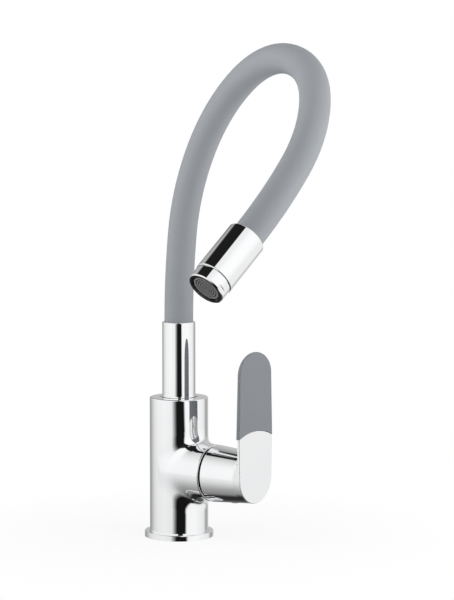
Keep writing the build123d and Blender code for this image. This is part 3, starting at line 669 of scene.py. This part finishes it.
# Each row of stops pairs angles in degrees with the brightness there. An azimuth counts to the
# right from the camera, and an elevation counts up from the level. The tent has three rows that
# go round it, high up, at the level and down on the table, and a row of heights for each side.
# The slit has a row that goes across it, and one on each side for how wide it is at each height.
tent_high = (
    (-180, 0.53), (-165, 0.36), (-150, 0.43), (-138, 0.48), (-122, 0.86), (-105, 0.95),
    (-90, 0.97), (-72, 0.97), (-50, 1.02), (66, 1.05), (85, 1.02), (105, 0.96),
    (118, 0.80), (130, 0.52), (150, 0.56), (180, 0.55),
)
tent_level = (
    (-180, 0.55), (-152, 0.38), (-138, 0.44), (-120, 0.72), (-105, 0.86), (-90, 0.95),
    (-75, 0.96), (-55, 1.0), (66, 1.05), (80, 1.0), (105, 0.94), (118, 0.84),
    (131, 0.38), (152, 0.50), (165, 0.80), (180, 0.60),
)
tent_table = (
    (-180, 0.35), (-165, 0.09), (-158, 0.05), (-134, 0.03), (-124, 0.30), (-108, 0.93),
    (-75, 1.0), (66, 1.05), (100, 1.0), (122, 0.97), (139, 0.85), (146, 0.35),
    (152, 0.75), (165, 0.85), (180, 0.35),
)
table_to_level = (-18, -12)
level_to_high = (0, 8)
left_heights = (
    (-90, 0.03), (-66, 0.14), (-57, 0.26), (-45, 0.38), (-35, 0.54), (-25, 0.70),
    (-11, 0.89), (-7, 1.0), (0, 1.0), (27, 1.0), (33, 0.97), (38, 0.94),
    (43, 0.89), (47, 0.84), (50, 0.79), (56, 0.67), (62, 0.5), (90, 0.5),
)
right_heights = (
    (-90, 0.03), (-66, 0.06), (-58, 0.10), (-50, 0.30), (-44, 0.84), (-28, 0.92),
    (-11, 0.94), (-5, 0.98), (0, 1.0), (34, 0.99), (45, 0.95), (51, 0.90),
    (62, 0.86), (90, 0.85),
)
side_fade = 0.02
slit_stops = (
    (-60, 0.0), (-28, 0.08), (-20, 0.54), (-13, 0.86), (-8, 0.995), (18, 0.995), (24, 0.0), (60, 0.0),
)
slit_width = 2.4
slit_left = (
    (-90, 0.50), (-35, 0.50), (-20, 0.40), (-8, 0.417), (-2, 0.40), (6, 0.12),
    (14, 0.06), (46, 0.06), (52, 0.02), (90, 0.02),
)
slit_right = (
    (-90, 1.0), (-46, 0.92), (-38, 0.66), (-15, 0.60), (-10, 0.54), (-8, 0.44),
    (-5, 0.38), (0, 0.30), (46, 0.30), (52, 0.02), (90, 0.02),
)
panel_left_edge = (-0.55, 0.19)
panel_right_edge = (-0.06, 0.27)
panel_edge_fade = 0.015
panel_rise = (0, 4)
tent_glow = ((-90, 0.03), (-55, 0.015), (-40, 0.004), (-12, 0.003), (-3, 0.003), (5, 0.015), (90, 0.012))
soft_walls = (
    (-180, 0.3), (-135, 0.35), (-108, 0.85), (-90, 1.0), (-55, 0.85), (-15, 0.47),
    (10, 0.47), (35, 0.72), (65, 1.0), (100, 1.0), (150, 0.7), (180, 0.3),
)
soft_heights = ((-90, 1.25), (-50, 1.1), (-20, 0.65), (5, 0.29), (40, 0.26), (90, 0.1))
soft_strength = 1.08


def look_direction(tree):
    """The azimuth and the elevation of the direction looked in, and its parts, from the camera's side."""
    looked = add_node(tree, "ShaderNodeTexCoord", {})["Generated"]
    turn = {"Vector": looked, "Angle": -camera_azimuth}
    direction = add_node(tree, "ShaderNodeVectorRotate", turn, rotation_type="Z_AXIS")["Vector"]
    parts = add_parts(tree, direction)
    ahead = add_math(tree, "MULTIPLY", parts["Y"], -1.0)
    azimuth = add_math(tree, "ARCTAN2", parts["X"], ahead)
    elevation = add_math(tree, "ARCSINE", parts["Z"])
    return azimuth, elevation, parts


def add_stops(tree, angle, stops):
    """The brightness that a row of stops gives for an angle."""
    first = stops[0][0]
    last = stops[-1][0]
    ramp = tree.nodes.new("ShaderNodeValToRGB")
    elements = ramp.color_ramp.elements
    while len(elements) < len(stops):
        elements.new(0.5)
    for element, (degrees, grey) in zip(elements, stops):
        element.position = (degrees - first) / (last - first)
        element.color = (grey, grey, grey, 1.0)
    feed(tree, add_mask(tree, angle, math.radians(first), math.radians(last)), ramp.inputs["Fac"])
    return ramp.outputs["Color"]


def add_sided(tree, side, angle, left_stops, right_stops):
    """The brightness that one row of stops gives on the left side, and another on the right."""
    return add_mix(tree, side, add_stops(tree, angle, left_stops), add_stops(tree, angle, right_stops))


def add_change(tree, angle, span, below, above):
    """The value that goes from one source to another while the angle rises through a span in degrees."""
    return add_mix(tree, add_mask(tree, angle, *map(math.radians, span)), below, above)


def add_dark(tree, light, dark):
    """The light that is left where a mask darkens it."""
    return add_math(tree, "MULTIPLY", light, add_math(tree, "SUBTRACT", 1.0, dark))


def past_edge(tree, parts, edge):
    """Whether a direction is to the right of a straight edge overhead that leans towards the camera."""
    overhead, towards_camera = edge
    place = add_math(tree, "MULTIPLY", parts["Z"], -overhead)
    place = add_math(tree, "ADD", place, add_math(tree, "MULTIPLY", parts["Y"], towards_camera))
    place = add_math(tree, "ADD", place, parts["X"])
    return add_mask(tree, place, -panel_edge_fade, panel_edge_fade)


def light_tent(tree):
    """The tent that polished metal shows, with its slit, its dark panel and a faint glow all over."""
    azimuth, elevation, parts = look_direction(tree)
    high = add_stops(tree, azimuth, tent_high)
    level = add_change(tree, elevation, level_to_high, add_stops(tree, azimuth, tent_level), high)
    walls = add_change(tree, elevation, table_to_level, add_stops(tree, azimuth, tent_table), level)
    side = add_mask(tree, azimuth, -side_fade, side_fade)
    heights = add_sided(tree, side, elevation, left_heights, right_heights)
    lit = add_math(tree, "MULTIPLY", walls, heights)
    opening = add_sided(tree, side, elevation, slit_left, slit_right)
    width = add_math(tree, "MULTIPLY", opening, slit_width)
    lit = add_dark(tree, lit, add_stops(tree, add_math(tree, "DIVIDE", azimuth, width), slit_stops))
    overhead = add_mask(tree, elevation, *map(math.radians, panel_rise))
    panel = add_math(tree, "MULTIPLY", past_edge(tree, parts, panel_left_edge), overhead)
    lit = add_dark(tree, lit, add_dark(tree, panel, past_edge(tree, parts, panel_right_edge)))
    return add_math(tree, "ADD", lit, add_stops(tree, elevation, tent_glow))


def soft_light(tree):
    """The light that dull surfaces gather: most from the sides and table, least from camera and top."""
    azimuth, elevation, _ = look_direction(tree)
    around = add_stops(tree, azimuth, soft_walls)
    return add_math(tree, "MULTIPLY", around, add_stops(tree, elevation, soft_heights))


def make_world():
    """A white backdrop for the camera, the tent for polished metal, and soft light for the rest."""
    world = bpy.data.worlds.new("light_tent")
    bpy.context.scene.world = world
    world.use_nodes = True
    tree = world.node_tree
    soft = tree.nodes["Background"]
    feed(tree, soft_light(tree), soft.inputs["Color"])
    feed(tree, soft_strength, soft.inputs["Strength"])
    tent = add_node(tree, "ShaderNodeBackground", {"Color": light_tent(tree)})
    backdrop = add_node(tree, "ShaderNodeBackground", {"Color": (1.0, 1.0, 1.0)})
    rays = add_node(tree, "ShaderNodeLightPath", {})
    shown = soft.outputs["Background"]
    for ray, light in (("Is Glossy Ray", tent), ("Is Camera Ray", backdrop)):
        sources = {"Fac": rays[ray], 1: shown, 2: light["Background"]}
        shown = add_node(tree, "ShaderNodeMixShader", sources)["Shader"]
    feed(tree, shown, tree.nodes["World Output"].inputs["Surface"])


def make_floor():
    """A round white floor that keeps a faint shadow near the object and is plain white further out."""
    floor_radius = 1.2
    floor_sides = 96
    shadow_start = 0.02
    shadow_end = 0.22
    shadow_whiteness = 0.88
    points = [(0.0, 0.0, 0.0)]
    for side in range(floor_sides):
        angle = math.tau * side / floor_sides
        points.append((floor_radius * math.cos(angle), floor_radius * math.sin(angle), 0.0))
    faces = [(0, side + 1, (side + 1) % floor_sides + 1) for side in range(floor_sides)]
    mesh = bpy.data.meshes.new("floor")
    mesh.from_pydata(points, [], faces)
    paint = {"Base Color": (0.9, 0.9, 0.9, 1.0), "Roughness": 0.9}
    material, tree, shader = new_material("white_sweep", paint)
    mesh.materials.append(material)
    white = add_node(tree, "ShaderNodeEmission", {})["Emission"]
    place = add_node(tree, "ShaderNodeNewGeometry", {})["Position"]
    distance = add_vector(tree, "LENGTH", place)["Value"]
    plain = add_range(tree, distance, shadow_start, shadow_end, shadow_whiteness, 1.0)
    camera_ray = add_node(tree, "ShaderNodeLightPath", {})["Is Camera Ray"]
    share = add_math(tree, "MULTIPLY", plain, camera_ray)
    shown = add_node(tree, "ShaderNodeMixShader", {"Fac": share, 1: shader.outputs["BSDF"], 2: white})
    feed(tree, shown["Shader"], tree.nodes["Material Output"].inputs["Surface"])
    floor = add_object("floor", mesh)
    floor.visible_glossy = False
    floor.visible_diffuse = False
    floor.visible_shadow = False


def make_lamp(name, azimuth, elevation, power):
    """A square lamp that shines at the middle of the hose, and that polished metal doesn't show."""
    lamp = bpy.data.lights.new(name, "AREA")
    lamp.size = lamp_size
    lamp.energy = power
    turn = camera_azimuth + math.radians(azimuth)
    rise = math.radians(elevation)
    away = Vector((math.sin(turn) * math.cos(rise), -math.cos(turn) * math.cos(rise), math.sin(rise)))
    placed = add_object(name, lamp)
    placed.location = hose_middle + away * lamp_distance
    placed.rotation_mode = "QUATERNION"
    placed.rotation_quaternion = away.to_track_quat("Z", "Y")
    placed.visible_glossy = False


def make_camera():
    """The camera, at the place and angle that the photograph was taken from."""
    lens = bpy.data.cameras.new("camera")
    lens.sensor_fit = "VERTICAL"
    lens.sensor_height = 24.0
    lens.lens = focal_pixels / photo_height * lens.sensor_height
    camera = add_object("camera", lens)
    back = Vector((math.sin(camera_azimuth), -math.cos(camera_azimuth), 0.0))
    side = Vector((math.cos(camera_azimuth), math.sin(camera_azimuth), 0.0))
    camera.location = back * camera_distance + side * camera_side + Vector((0.0, 0.0, camera_height))
    looking = -back * math.cos(camera_pitch) - Vector((0.0, 0.0, math.sin(camera_pitch)))
    camera.rotation_mode = "QUATERNION"
    camera.rotation_quaternion = looking.to_track_quat("-Z", "Y")
    bpy.context.scene.camera = camera


make_world()
make_floor()
make_lamp("left_panel", azimuth=-85, elevation=0, power=1.2)
make_lamp("left_high_panel", azimuth=-65, elevation=38, power=2.1)
make_lamp("right_panel", azimuth=75, elevation=-5, power=1.9)
make_lamp("right_high_panel", azimuth=60, elevation=40, power=1.5)
make_camera()
bpy.context.scene.view_settings.view_transform = "Standard"
